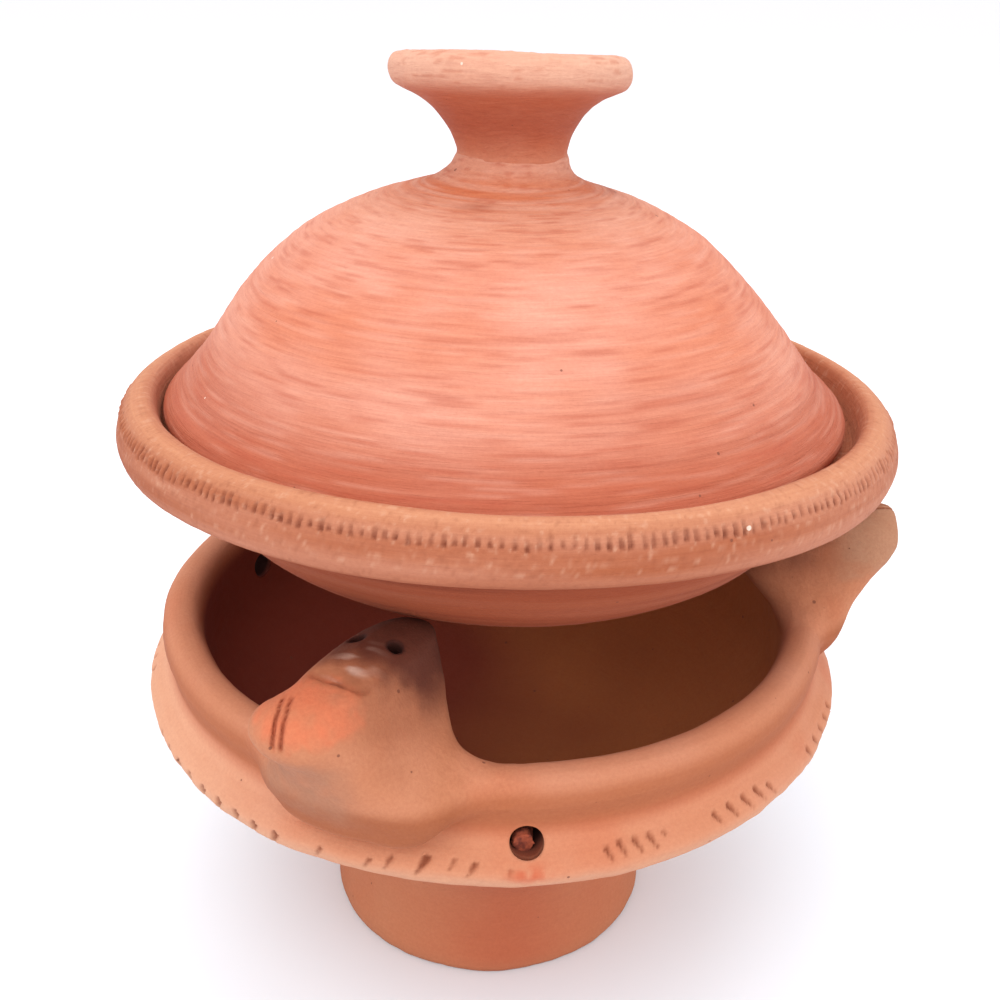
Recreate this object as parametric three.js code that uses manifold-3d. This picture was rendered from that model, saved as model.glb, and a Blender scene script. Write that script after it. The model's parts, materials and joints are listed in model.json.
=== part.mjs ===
// A small unglazed terracotta tagine on its own charcoal brazier, in millimetres, +Z up.
// Three loose pots stand on each other: the brazier, the dish on its three pot rests, and the
// domed lid inside the dish's rolled rim. Z = 0 is the table under the brazier's foot, and the
// origin is the middle of the floor space that the whole object covers.

import * as THREE from "three";
import { mergeVertices } from "three/addons/utils/BufferGeometryUtils.js";
import Module from "manifold-3d";

// Driving dimensions.
const RIM_RADIUS = 90; // dish, over its rolled rim
const RIM_TOP = 147.6; // crest of the dish's rim
const LEDGE_TOP = 141; // flat inside the rim, where the lid stands
const DISH_BOTTOM = 100.5; // lowest point of the dish's round underside
const LID_RADIUS = 77.8; // widest part of the lid
const NECK_RADIUS = 12.2; // thinnest part of the lid's knob
const KNOB_RADIUS = 25.7;
const TOTAL_HEIGHT = 216.4;
const LIP_INNER = 72.2; // mouth of the fire bowl
const LIP_TOP = 91.4;
const FLANGE_RADIUS = 86.4; // ridge round the fire bowl, under its lip
const FLANGE_HEIGHT = 72.5;
const FOOT_RADIUS = 42.3;
const FOOT_HEIGHT = 27.7;
const REST_REACH = 99; // beaks of the pot rests, from the pots' axis
const REST_TOP = 114.5;
const VENT_RADIUS = 3.1;
const VENT_HEIGHT = 77.4;
const GAP = 0.3; // between pieces that touch

// Bearings in degrees round the pots' axis, from the -Y side towards +X.
const RESTS = { front: -22, right: 89, back: -146 };
const FRONT_VENT = 5;
const VENT_SPACING = 120;

const SEGMENTS = 40; // round every pot

const CLAY = { roughness: 0.92, metalness: 0 };
const COLOURS = {
  lid: 0xe79a7e,
  dish: 0xd88a66,
  brazier: 0xd29070,
  rest: 0xc48468,
  plug: 0x9a5242,
};

const wasm = await Module();
wasm.setup();

// Points [radius, height] along a smooth curve through the given ones.
function curve(points, steps) {
  const path = new THREE.SplineCurve(points.map(([r, z]) => new THREE.Vector2(r, z)));
  return path.getPoints(steps).map((p) => [Math.max(p.x, 0), p.y]);
}

// An arc from one angle to another, in degrees, anticlockwise in the radius-height plane.
function arc([r, z], radius, from, to, steps) {
  return Array.from({ length: steps + 1 }, (_, i) => {
    const angle = THREE.MathUtils.degToRad(from + ((to - from) * i) / steps);
    return [r + radius * Math.cos(angle), z + radius * Math.sin(angle)];
  });
}

// A pot turned from a profile that goes anticlockwise: up the outside and down the inside.
function turned(profile) {
  const points = profile.map(([r, z]) => new THREE.Vector2(r, z));
  return new THREE.LatheGeometry(points, SEGMENTS).rotateX(Math.PI / 2);
}

function solidOf(geometry) {
  const bare = geometry.clone().deleteAttribute("normal").deleteAttribute("uv");
  const merged = mergeVertices(bare, 1e-4);
  const made = new wasm.Manifold(
    new wasm.Mesh({
      numProp: 3,
      vertProperties: merged.attributes.position.array,
      triVerts: new Uint32Array(merged.index.array),
    }),
  );
  return made;
}

function geometryOf(solid) {
  const mesh = solid.getMesh();
  const made = new THREE.BufferGeometry()
    .setAttribute("position", new THREE.BufferAttribute(mesh.vertProperties, 3))
    .setIndex(new THREE.BufferAttribute(mesh.triVerts, 1));
  made.computeVertexNormals();
  return made;
}

const pot = new THREE.Group();

function add(name, geometry, colour) {
  const material = new THREE.MeshStandardMaterial({ color: colour, ...CLAY });
  const mesh = new THREE.Mesh(geometry, material);
  mesh.name = name;
  pot.add(mesh);
}

// Outline of the fire bowl. Its lip is a round roll, and the flange stands out under the lip.
function bowlProfile(grown = 0) {
  const lip = 4.9;
  const underside = curve(
    [
      [43, FOOT_HEIGHT + GAP],
      [51, 39],
      [66, 53.5],
      [79, 63.5],
      [85.2, 68.5],
      [FLANGE_RADIUS, FLANGE_HEIGHT],
      [83.6, 76],
      [81, 79.5],
    ],
    11,
  );
  const roll = arc([LIP_INNER + lip, LIP_TOP - lip], lip, -25, 195, 6);
  const inside = curve([[LIP_INNER, 80], [71.5, 68], [60, 53.4], [46, 43], [28, 37.5], [0, 36]], 7);
  const outline = [[0, FOOT_HEIGHT + GAP], ...underside, ...roll, ...inside];
  return grown ? widened(outline, grown) : outline;
}

// The same outline moved outwards by a distance, for what has to fit round the pot.
function widened(outline, distance) {
  return outline.map(([r, z], i) => {
    const before = outline[Math.max(i - 1, 0)];
    const after = outline[Math.min(i + 1, outline.length - 1)];
    const along = new THREE.Vector2(after[0] - before[0], after[1] - before[1]).normalize();
    const onAxis = i === 0 || i === outline.length - 1;
    const side = i === 0 ? -distance : distance;
    return onAxis ? [0, z + side] : [r + along.y * distance, z - along.x * distance];
  });
}

// Outline of the dish: round underside, rolled rim, flat ledge for the lid, round inside.
function dishProfile(grown = 0) {
  const underside = curve(
    [[0, DISH_BOTTOM], [21, 101.7], [39, 105.4], [54, 111.2], [65.2, 119], [72, 127.5], [77, 133]],
    8,
  );
  const rim = curve(
    [
      [84, 134.8],
      [88.6, 136.6],
      [RIM_RADIUS, 140.4],
      [88.2, 145.6],
      [84.2, RIM_TOP],
      [81, 145.2],
      [79.4, LEDGE_TOP + 0.6],
    ],
    10,
  );
  const inside = curve([[70, LEDGE_TOP], [67.4, 137], [62, 127], [51, 117.5], [30, 110.4], [0, 108.3]], 8);
  const outline = [...underside, ...rim, [78.6, LEDGE_TOP], ...inside];
  return grown ? widened(outline, grown) : outline;
}

function lidDome() {
  const stand = LEDGE_TOP + GAP;
  const outside = curve(
    [
      [75.4, stand],
      [LID_RADIUS, 145.4],
      [72.4, 151.2],
      [65.2, 159.3],
      [57, 168.6],
      [46.8, 178.2],
      [31.2, 187.2],
      [18.8, 191],
      [14, 192.6],
    ],
    13,
  );
  const inside = curve(
    [[0, 183.6], [16, 181.6], [34, 175.6], [49.4, 165.6], [60.6, 153.4], [69.6, 144.6], [71.2, stand]],
    8,
  );
  return turned([...inside, ...outside, [0, 192.6]]);
}

function lidKnob() {
  const foot = 192.6 + GAP;
  const flare = curve(
    [
      [14, foot],
      [NECK_RADIUS, 197],
      [13.3, 201.4],
      [17, 206],
      [22, 209.8],
      [24.8, 211.4],
      [KNOB_RADIUS, 213.4],
      [24.9, TOTAL_HEIGHT - 0.3],
      [22.8, TOTAL_HEIGHT],
      [16, TOTAL_HEIGHT - 0.2],
      [8, TOTAL_HEIGHT - 0.4],
      [0, TOTAL_HEIGHT - 0.5],
    ],
    14,
  );
  return turned([[0, foot], ...flare]);
}

function dish() {
  return turned(dishProfile());
}

// A straight hole through the bowl's wall, from outside to inside, at a bearing.
function ventHole(bearing, radius, from, to) {
  const around = 12;
  const hole = new THREE.CylinderGeometry(radius, radius, to - from, around);
  hole.translate(0, -(from + to) / 2, 0);
  return hole.rotateZ(THREE.MathUtils.degToRad(bearing)).translate(0, 0, VENT_HEIGHT);
}

function brazierBowl() {
  let bowl = solidOf(turned(bowlProfile()));
  for (let i = 0; i < 3; i++) {
    const hole = ventHole(FRONT_VENT + i * VENT_SPACING, VENT_RADIUS, 66, 92);
    bowl = bowl.subtract(solidOf(hole));
  }
  return geometryOf(bowl);
}

// The foot is a ring, open underneath, and its top edge is luted to the bowl.
function brazierFoot() {
  const outside = curve([[FOOT_RADIUS, 0], [39.4, 9], [38.4, 17], [41.5, FOOT_HEIGHT]], 6);
  const inside = curve([[32.5, FOOT_HEIGHT], [31, 17], [32, 9], [34.8, 0]], 4);
  return turned([...outside, ...inside, [FOOT_RADIUS, 0]]);
}

// Each pot rest is a lug that rises from the lip, leans in under the dish and carries a beak
// that points out. Its level sections, from the bottom up: height, inner and outer radius, and
// half the width round the lip.
const REST_SECTIONS = [
  [70, 78, 85, 17],
  [78, 76, 88.5, 20],
  [85, 73.5, 91, 20],
  [91, 67, 93, 16],
  [98, 60.5, 95.8, 11.5],
  [104.5, 57, REST_REACH - 0.6, 9.6],
  [110, 55.6, REST_REACH, 8.6],
  [113, 56.4, REST_REACH - 3, 7.4],
  [REST_TOP, 59.5, REST_REACH - 9, 4.6],
];

function potRest(bearing) {
  const around = 16;
  const power = 0.62; // of a section's roundness: 1 is an ellipse, 0 a rectangle
  const positions = [];
  for (const [z, inner, outer, half] of REST_SECTIONS) {
    for (let i = 0; i < around; i++) {
      const angle = (2 * Math.PI * i) / around;
      const u = Math.sign(Math.cos(angle)) * Math.abs(Math.cos(angle)) ** power;
      const v = Math.sign(Math.sin(angle)) * Math.abs(Math.sin(angle)) ** power;
      const r = (inner + outer) / 2 + (u * (outer - inner)) / 2;
      const turn = (v * half) / LIP_INNER;
      positions.push(r * Math.sin(turn), -r * Math.cos(turn), z);
    }
  }
  const top = REST_SECTIONS.length - 1;
  const faces = [];
  for (let k = 0; k < top; k++) {
    for (let i = 0; i < around; i++) {
      const a = k * around + i;
      const b = k * around + ((i + 1) % around);
      faces.push(a, b, a + around, b, b + around, a + around);
    }
  }
  for (let i = 1; i < around - 1; i++) {
    faces.push(0, i + 1, i);
    faces.push(top * around, top * around + i, top * around + i + 1);
  }
  const lug = new THREE.BufferGeometry()
    .setAttribute("position", new THREE.Float32BufferAttribute(positions, 3))
    .setIndex(faces)
    .rotateZ(THREE.MathUtils.degToRad(bearing));
  const seat = solidOf(turned(dishProfile(GAP)));
  const lip = solidOf(turned(bowlProfile(GAP)));
  const pieces = solidOf(lug).subtract(seat).subtract(lip).decompose();
  return geometryOf(pieces.sort((a, b) => b.volume() - a.volume())[0]);
}

// A core of clay left standing in the front vent: it fills the inner end and is thinner outside.
function ventPlug() {
  const root = solidOf(ventHole(FRONT_VENT, VENT_RADIUS - GAP, 73, 76));
  const core = solidOf(ventHole(FRONT_VENT, 2, 74, 80));
  return geometryOf(root.add(core));
}

add("lid_dome", lidDome(), COLOURS.lid);
add("lid_knob", lidKnob(), COLOURS.lid);
add("dish", dish(), COLOURS.dish);
add("brazier_bowl", brazierBowl(), COLOURS.brazier);
add("brazier_foot", brazierFoot(), COLOURS.brazier);
for (const [place, bearing] of Object.entries(RESTS)) {
  add(`pot_rest_${place}`, potRest(bearing), COLOURS.rest);
}
add("vent_plug", ventPlug(), COLOURS.plug);

// The rests' beaks stand out past the dish's rim, so the middle of the floor space that the
// object covers is a few millimetres off the pots' axis.
const middle = new THREE.Box3().setFromObject(pot).getCenter(new THREE.Vector3());
pot.position.set(-middle.x, -middle.y, 0);

export default pot;
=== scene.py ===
"""Looks of the clay tagine on its charcoal brazier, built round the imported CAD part.

Lengths are millimetres, up to the floor, lights and camera at the end, which are metres of the frame. Radii
and bearings are about the pots' common axis, heights are above the table, and a bearing goes from the -Y
side towards +X. Colours given to rgb() are as they look in the studio's light.
"""

import itertools
import json
import math

import bpy
import numpy as np
import openvdb
from mathutils import Matrix, Vector


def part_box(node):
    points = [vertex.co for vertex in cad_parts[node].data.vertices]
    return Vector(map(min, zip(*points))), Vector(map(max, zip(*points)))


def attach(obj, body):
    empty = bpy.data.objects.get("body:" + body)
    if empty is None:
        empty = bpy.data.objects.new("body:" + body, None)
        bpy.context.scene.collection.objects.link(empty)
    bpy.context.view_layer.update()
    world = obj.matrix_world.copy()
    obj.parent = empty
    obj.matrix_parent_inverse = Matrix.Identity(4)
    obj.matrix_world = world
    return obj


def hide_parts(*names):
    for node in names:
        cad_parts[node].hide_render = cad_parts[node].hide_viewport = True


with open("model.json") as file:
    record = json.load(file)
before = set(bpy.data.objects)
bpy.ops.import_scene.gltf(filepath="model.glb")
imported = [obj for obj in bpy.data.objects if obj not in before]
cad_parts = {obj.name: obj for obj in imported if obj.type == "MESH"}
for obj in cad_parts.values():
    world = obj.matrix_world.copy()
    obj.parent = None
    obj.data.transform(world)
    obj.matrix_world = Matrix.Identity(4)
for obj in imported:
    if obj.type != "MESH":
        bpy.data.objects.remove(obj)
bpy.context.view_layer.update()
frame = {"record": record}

dish_low, dish_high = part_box("dish")
AXIS = np.array([*((dish_low + dish_high) / 2)[:2], 0.0])

VENTS = (5.6, 125, 245)  # bearings in degrees
VENT_HEIGHT = 77.4
VENT_RADIUS = 3.5
NOTCHES = 270  # roulette marks round the dish's rim
COARSE, FINE, FINEST = 450, 900, 1800  # columns round the dish and the fire bowl
RIM_RADIUS, FLANGE_RADIUS = 88, 85
TURN_RADIUS = 26  # of the ring that a pot's turning streaks are laid out on, so that they close round it
PAINT_GAIN = 0.70  # from a colour as it looks in the bright studio to the clay's own

# ---------------------------------------------------------------------------------------------- numbers


def rgb(r, g, b):
    """The linear colour of an sRGB one given from 0 to 255."""
    c = np.array([r, g, b]) / 255
    return np.where(c <= 0.04045, c / 12.92, ((c + 0.055) / 1.055) ** 2.4)


def ramp(low, high, x):
    """0 up to low, 1 from high on, and smooth between. With high under low it falls instead."""
    t = np.clip((np.asarray(x, float) - low) / (high - low), 0, 1)
    return t * t * (3 - 2 * t)


def bump(x, centre, width):
    """1 at the centre, and down to about a third at one width from it."""
    return np.exp(-(((np.asarray(x, float) - centre) / width) ** 2))


LATTICE = np.random.default_rng(11).uniform(-1, 1, (64, 64, 64)).astype(np.float32)


def noise(points, size, seed=0):
    """Smooth noise from -1 to 1 at the points, with grains of that size, one number or one per axis."""
    q = np.asarray(points, float) / np.asarray(size, float) + 17.37 * (seed + 1)
    cell = np.floor(q).astype(int)
    t = q - cell
    t = t * t * (3 - 2 * t)
    total = 0.0
    for corner in itertools.product((0, 1), repeat=3):
        i = (cell + corner) & 63
        weight = np.prod(np.where(corner, t, 1 - t), axis=-1)
        total = total + weight * LATTICE[i[..., 0], i[..., 1], i[..., 2]]
    return total


def layers(points, size, octaves, seed=0):
    """Noise with finer and weaker grains added to it."""
    size = np.asarray(size, float)
    return sum(noise(points, size / 2**k, seed + 5 * k) / 2**k for k in range(octaves))


def respaced(points, step):
    """The same line of points with new ones about a step apart."""
    points = np.array(points, float)
    lengths = np.concatenate([[0], np.cumsum(np.hypot(*np.diff(points, axis=0).T))])
    even = np.linspace(0, lengths[-1], max(round(lengths[-1] / step), 1) + 1)
    return np.stack([np.interp(even, lengths, points[:, k]) for k in (0, 1)], axis=-1)


def spline(points, step):
    """Points about a step apart on a smooth curve through the given ones."""
    p = np.array(points, float)
    if len(p) == 2:
        return respaced(p, step)
    p = np.vstack([2 * p[0] - p[1], p, 2 * p[-1] - p[-2]])
    t = np.linspace(0, 1, 24, endpoint=False)[:, None]
    runs = [
        0.5 * (2 * b + (c - a) * t + (2 * a - 5 * b + 4 * c - d) * t**2 + (3 * b - 3 * c + d - a) * t**3)
        for a, b, c, d in zip(p, p[1:], p[2:], p[3:])
    ]
    return respaced(np.vstack([*runs, p[-2:-1]]), step)


def to_frame(points):
    """Metres of the frame from millimetres about the pots' axis."""
    return np.asarray(points, float) / 1000 + AXIS


def around(bearing, radius, height):
    """The point or points at that bearing in radians."""
    return np.stack(
        np.broadcast_arrays(radius * np.sin(bearing), -radius * np.cos(bearing), height), axis=-1
    )


def mix(a, b, share):
    share = np.asarray(share, float)[..., None]
    return a * (1 - share) + b * share


# ------------------------------------------------------------------------------------- turned pots


class Turned:
    """A pot turned round the axis from parts of its outline, each (points, step, columns).

    The outline goes anticlockwise in the radius-height plane: up the outside and down the inside.
    From one part to the next, columns may double or halve.
    """

    def __init__(self, *parts, ring=False):
        line, columns = [], []
        for points, step, count in parts:
            run = spline(points, step)
            run = run[1:] if line else run
            line.extend(run)
            columns.extend([count] * len(run))
        if ring:
            line, columns = line[:-1], columns[:-1]
        self.line = np.array(line)
        self.columns = [1 if r < 1e-6 else n for (r, _), n in zip(self.line, columns)]
        self.length = np.concatenate([[0], np.cumsum(np.hypot(*np.diff(self.line, axis=0).T))])
        self.start = np.concatenate([[0], np.cumsum(self.columns)])
        self.row = np.repeat(np.arange(len(self.line)), self.columns)
        self.bearing = np.concatenate([np.arange(n) * 2 * math.pi / n for n in self.columns])
        self.along = self.length[self.row]
        self.quads, self.tris = [], []
        for i in range(len(self.line) - (0 if ring else 1)):
            self.join(i, (i + 1) % len(self.line))
        self.place()

    def join(self, i, k):
        n, m = self.columns[i], self.columns[k]
        a, b = self.start[i], self.start[k]
        j = np.arange(max(n, m))
        after = (j + 1) % len(j)
        if n == m:
            self.quads.append(np.stack([a + j, a + after, b + after, b + j], axis=-1))
        elif n == 1:
            self.tris.append(np.stack([np.full_like(j, a), b + after, b + j], axis=-1))
        elif m == 1:
            self.tris.append(np.stack([a + j, a + after, np.full_like(j, b)], axis=-1))
        else:
            self.stitch(a, b, min(n, m), m > n)

    def stitch(self, a, b, n, finer):
        """Joins a row of n points to one of 2n. finer is True if the upper row has more."""
        j = np.arange(n)
        after = (j + 1) % n
        left, middle, right = 2 * j, 2 * j + 1, 2 * after
        if finer:
            made = [(a + j, b + middle, b + left), (a + j, a + after, b + middle)]
            made.append((a + after, b + right, b + middle))
        else:
            made = [(a + left, a + middle, b + j), (a + middle, b + after, b + j)]
            made.append((a + middle, a + right, b + after))
        self.tris.extend(np.stack(corners, axis=-1) for corners in made)

    def place(self):
        """Works out points and normals from each point's bearing and place along the outline."""
        slope = np.gradient(self.line, self.length, axis=0)
        slope /= np.hypot(*slope.T)[:, None] + 1e-12
        at = [np.interp(self.along, self.length, v) for v in (*self.line.T, *slope.T)]
        self.radius, self.height = at[0], at[1]
        self.points = around(self.bearing, self.radius, self.height)
        self.normals = around(self.bearing, at[3], -at[2])
        ring = TURN_RADIUS * np.cos(self.bearing), TURN_RADIUS * np.sin(self.bearing)
        self.turn = np.stack([*ring, self.along], axis=-1)

    def swell(self, amount):
        self.points = self.points + self.normals * np.asarray(amount, float)[:, None]

    def along_at(self, height, outside=True):
        """Place along the outline where it passes that height, on its way up or down."""
        rows = np.arange(len(self.line))
        top = self.line[:, 1].argmax()
        rows = rows[:top] if outside else rows[top:]
        return self.length[rows[np.abs(self.line[rows, 1] - height).argmin()]]


def lean(points, heights, shifts):
    """Moves each level of a pot sideways, as a hand-turned pot is never quite true."""
    points = points.copy()
    points[:, 0] += np.interp(points[:, 2], heights, shifts)
    return points


def askew(x, y):
    """Height added to each point of the dish and the lid, which stand low, lowest at the back right."""
    sunk, back, right, rim = 2.4, 3.3, 1.2, 86
    return -sunk - back * y / rim - right * x / rim


# ---------------------------------------------------------------------------------------- materials


def node(tree, kind, settings=None, **inputs):
    """Adds a node. Inputs are values or output sockets; an underscore in a name stands for a space."""
    made = tree.nodes.new(kind)
    for name, value in (settings or {}).items():
        setattr(made, name, value)
    for name, value in inputs.items():
        socket = made.inputs[int(name[1:])] if name[1:].isdigit() else made.inputs[name.replace("_", " ")]
        if isinstance(value, bpy.types.NodeSocket):
            tree.links.new(value, socket)
        else:
            socket.default_value = value
    return made


def maths(tree, operation, a, b=0.0, clamp=False):
    return node(tree, "ShaderNodeMath", {"operation": operation, "use_clamp": clamp}, _0=a, _1=b).outputs[0]


def blend(tree, kind, share, a, b):
    made = node(tree, "ShaderNodeMix", {"data_type": "RGBA", "blend_type": kind}, _0=share, _6=a, _7=b)
    return made.outputs[2]


def clay(name, streaks, grain, roughness, specks):
    """Unglazed fired clay. Its colour comes from the mesh's paint, with grain, turning streaks, pores
    and lime specks worked into both colour and relief."""
    material = bpy.data.materials.new(name)
    material.use_nodes = True
    tree = material.node_tree
    shader = tree.nodes["Principled BSDF"]
    place = node(tree, "ShaderNodeTexCoord").outputs["Object"]
    paint = node(tree, "ShaderNodeAttribute", {"attribute_name": "paint"}).outputs["Color"]
    turn = node(tree, "ShaderNodeAttribute", {"attribute_name": "turn"}).outputs["Vector"]

    fine = node(tree, "ShaderNodeTexNoise", Vector=place, Scale=1300.0, Detail=5.0, Roughness=0.68)
    sandy = node(tree, "ShaderNodeTexNoise", Vector=place, Scale=420.0, Detail=4.0, Roughness=0.62)
    bent = node(tree, "ShaderNodeTexNoise", Vector=turn, Scale=0.03, Detail=2.0)
    wander = maths(tree, "MULTIPLY", bent.outputs["Fac"], 2.6)
    shifted = node(tree, "ShaderNodeCombineXYZ", Z=wander).outputs[0]
    wound = node(tree, "ShaderNodeVectorMath", {"operation": "ADD"}, _0=turn, _1=shifted).outputs[0]
    stretched = node(tree, "ShaderNodeMapping", Vector=wound, Scale=(0.16, 0.16, 1.4)).outputs[0]
    lines = node(tree, "ShaderNodeTexNoise", Vector=stretched, Scale=1.0, Detail=4.0, Roughness=0.7)
    lines = lines.outputs["Fac"]

    cells = node(tree, "ShaderNodeTexVoronoi", Vector=place, Scale=230.0, Randomness=1.0)
    rare = node(tree, "ShaderNodeSeparateColor", Color=cells.outputs["Color"])
    size = maths(tree, "MULTIPLY", rare.outputs[0], 0.1)
    pore = maths(tree, "LESS_THAN", cells.outputs["Distance"], size)
    pore = maths(tree, "MULTIPLY", pore, maths(tree, "GREATER_THAN", rare.outputs[1], 1 - 0.3 * specks))
    wide = node(tree, "ShaderNodeTexVoronoi", Vector=place, Scale=95.0, Randomness=1.0)
    picked = node(tree, "ShaderNodeSeparateColor", Color=wide.outputs["Color"])
    size = maths(tree, "MULTIPLY", picked.outputs[2], 0.05)
    lime = maths(tree, "LESS_THAN", wide.outputs["Distance"], size)
    lime = maths(tree, "MULTIPLY", lime, maths(tree, "GREATER_THAN", picked.outputs[0], 1 - 0.12 * specks))

    light = maths(tree, "ADD", maths(tree, "MULTIPLY", fine.outputs["Fac"], 0.34 * grain), 1 - 0.17 * grain)
    streak = maths(tree, "ADD", maths(tree, "MULTIPLY", lines, 0.6 * streaks), 1 - 0.3 * streaks)
    level = maths(tree, "MULTIPLY", light, streak)
    red = maths(tree, "POWER", level, 0.6)
    shade = node(tree, "ShaderNodeCombineColor", Red=red, Green=level, Blue=level)
    colour = blend(tree, "MULTIPLY", 1.0, paint, shade.outputs[0])
    colour = blend(tree, "MIX", maths(tree, "MULTIPLY", pore, 0.7), colour, (0.16, 0.05, 0.03, 1))
    colour = blend(tree, "MIX", maths(tree, "MULTIPLY", lime, 0.7), colour, (0.85, 0.72, 0.6, 1))
    tree.links.new(colour, shader.inputs["Base Color"])

    rough = maths(tree, "MULTIPLY", sandy.outputs["Fac"], 0.22)
    rough = maths(tree, "ADD", rough, roughness - 0.11, clamp=True)
    tree.links.new(rough, shader.inputs["Roughness"])
    shader.inputs["Specular IOR Level"].default_value = 0.3

    relief = maths(tree, "MULTIPLY", fine.outputs["Fac"], 0.07 * grain)
    relief = maths(tree, "ADD", relief, maths(tree, "MULTIPLY", sandy.outputs["Fac"], 0.16 * grain))
    relief = maths(tree, "ADD", relief, maths(tree, "MULTIPLY", lines, 0.30 * streaks))
    relief = maths(tree, "SUBTRACT", relief, maths(tree, "MULTIPLY", pore, 0.25))
    raised = node(tree, "ShaderNodeBump", Height=relief, Distance=0.001, Strength=1.0)
    tree.links.new(raised.outputs["Normal"], shader.inputs["Normal"])
    return material


MATERIALS = {
    "lid_clay": clay("lid_clay", streaks=1.0, grain=0.9, roughness=0.74, specks=0.8),
    "dish_clay": clay("dish_clay", streaks=0.7, grain=1.1, roughness=0.84, specks=0.7),
    "brazier_clay": clay("brazier_clay", streaks=0.25, grain=1.1, roughness=0.84, specks=1.0),
    "rest_clay": clay("rest_clay", streaks=0.0, grain=1.5, roughness=0.88, specks=1.0),
    "plug_clay": clay("plug_clay", streaks=0.0, grain=1.6, roughness=0.92, specks=1.0),
}


def piece(name, body, points, faces, paint, turn):
    """Makes the looks of the CAD node of that name."""
    mesh = bpy.data.meshes.new(name)
    mesh.from_pydata(to_frame(points).tolist(), [], faces)
    mesh.validate()
    for label, kind, field, values in (
        ("paint", "FLOAT_COLOR", "color", np.column_stack([paint * PAINT_GAIN, np.ones(len(paint))])),
        ("turn", "FLOAT_VECTOR", "vector", turn),
    ):
        layer = mesh.attributes.new(label, kind, "POINT")
        layer.data.foreach_set(field, np.clip(values, -1e4, 1e4).astype(np.float32).ravel())
    mesh.shade_smooth()
    made = bpy.data.objects.new(name + "_look", mesh)
    bpy.context.scene.collection.objects.link(made)
    slot = next(s["material_slot"] for s in frame["record"]["subparts"] if s["node"] == name)
    mesh.materials.append(MATERIALS[slot])
    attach(made, body)
    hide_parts(name)
    return made


def turned_piece(name, body, pot, paint, extra=()):
    faces = [face for block in (*pot.quads, *pot.tris) for face in block.tolist()]
    return piece(name, body, pot.points, faces + list(extra), paint, pot.turn)


# ---------------------------------------------------------------------------------------------- lid

DISH_SHIFT = (3.3, -1.0)
LID_LEVELS = [141, 150, 160, 172, 184, 191, 197, 205, 216]
LID_SHIFTS = [2.4, 2.2, 1.9, 1.2, 1.3, 2.0, 3.1, 2.6, 2.2]

LID_PALE = rgb(246, 168, 142)
LID_ORANGE = rgb(234, 140, 106)
PALE = rgb(240, 172, 142)
ORANGE = rgb(224, 130, 92)
DEEP = rgb(202, 100, 66)
SANDY = rgb(186, 101, 64)
TAN = rgb(228, 150, 112)


def lid_paint(turn, height):
    haze = 0.55 + 0.6 * layers(turn, (12, 12, 15), 3, 3) + 0.16 * noise(turn, (7, 7, 1.6), 9)
    paint = mix(LID_ORANGE, LID_PALE, ramp(-0.1, 1.2, haze))
    paint = mix(paint, rgb(198, 96, 62), 0.85 * ramp(166, 147, height + 4 * noise(turn, (14, 14, 8), 5)))
    # Painted highlight: the lid is paler towards its top, from 180 to 190 mm up.
    paint = mix(paint, PALE, 0.6 * ramp(180, 190, height))
    lines = noise(turn, (6, 6, 0.75), 31) + 0.8 * noise(turn, (3, 3, 0.4), 32)
    paint = mix(paint, rgb(200, 92, 62), 0.42 * ramp(0.2, 1.0, lines))
    paint = mix(paint, rgb(255, 190, 166), 0.22 * ramp(-0.15, -0.9, lines))
    scraped = bump(height, 191.5, 2.6) * ramp(-0.5, 0.5, noise(turn, (22, 22, 1.0), 4))
    paint = mix(paint, rgb(226, 120, 72), 0.8 * scraped)
    dark_line = bump(height, 189.6, 0.5) * ramp(0.0, 0.6, noise(turn, (9, 9, 3), 6))
    paint = mix(paint, DEEP * 0.8, 0.7 * dark_line)
    return paint


def lid_swell(points, turn, height):
    lumps = 0.35 * layers(points, 38, 2, 1)
    rings = 0.08 * noise(turn, (26, 26, 1.7), 2) + 0.09 * noise(turn, (6, 6, 0.75), 31)
    dents = 0.3 * noise(turn, (26, 26, 3.2), 8) * ramp(172, 156, height)
    return lumps + rings + dents


def settled(points):
    """The lid as it stands askew in the dish, with its own lean. Its top is less sunk than its edge."""
    points = lean(points, LID_LEVELS, LID_SHIFTS)
    points[:, 1] += DISH_SHIFT[1] * ramp(178, 150, points[:, 2])
    points[:, 2] += askew(points[:, 0], points[:, 1]) + 2.4 * ramp(150, 188, points[:, 2])
    return points


dome = Turned(
    (
        [(0, 183.6), (16, 181.6), (34, 175.6), (49.4, 165.6), (60.6, 153.4), (69.6, 144.6), (71.6, 141.6)],
        3.5,
        480,
    ),
    ([(71.6, 141.6), (73, 141.1), (75, 141.4)], 0.9, 480),
    (
        [
            (75, 141.4),
            (76.9, 142.6),
            (77.8, 145.4),
            (76.2, 148.0),
            (72.4, 151.6),
            (65.7, 159.7),
            (57.8, 169.3),
            (47.3, 178.5),
            (39.2, 183.3),
            (31.0, 187.1),
            (24.0, 189.5),
            (19.2, 190.9),
        ],
        0.7,
        480,
    ),
    ([(19.2, 190.9), (16.8, 191.9), (14.8, 193.2), (13.1, 195.2), (12.3, 197.4)], 0.5, 480),
    ([(12.3, 197.4), (10.8, 198.4)], 1.0, 480),
    ([(10.8, 198.4), (0, 198.4)], 5.4, 480),
)
dome.swell(lid_swell(dome.points, dome.turn, dome.height))
paint = lid_paint(dome.turn, dome.height)
dome.points = settled(dome.points)
turned_piece("lid_dome", "lid", dome, paint)

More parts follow.
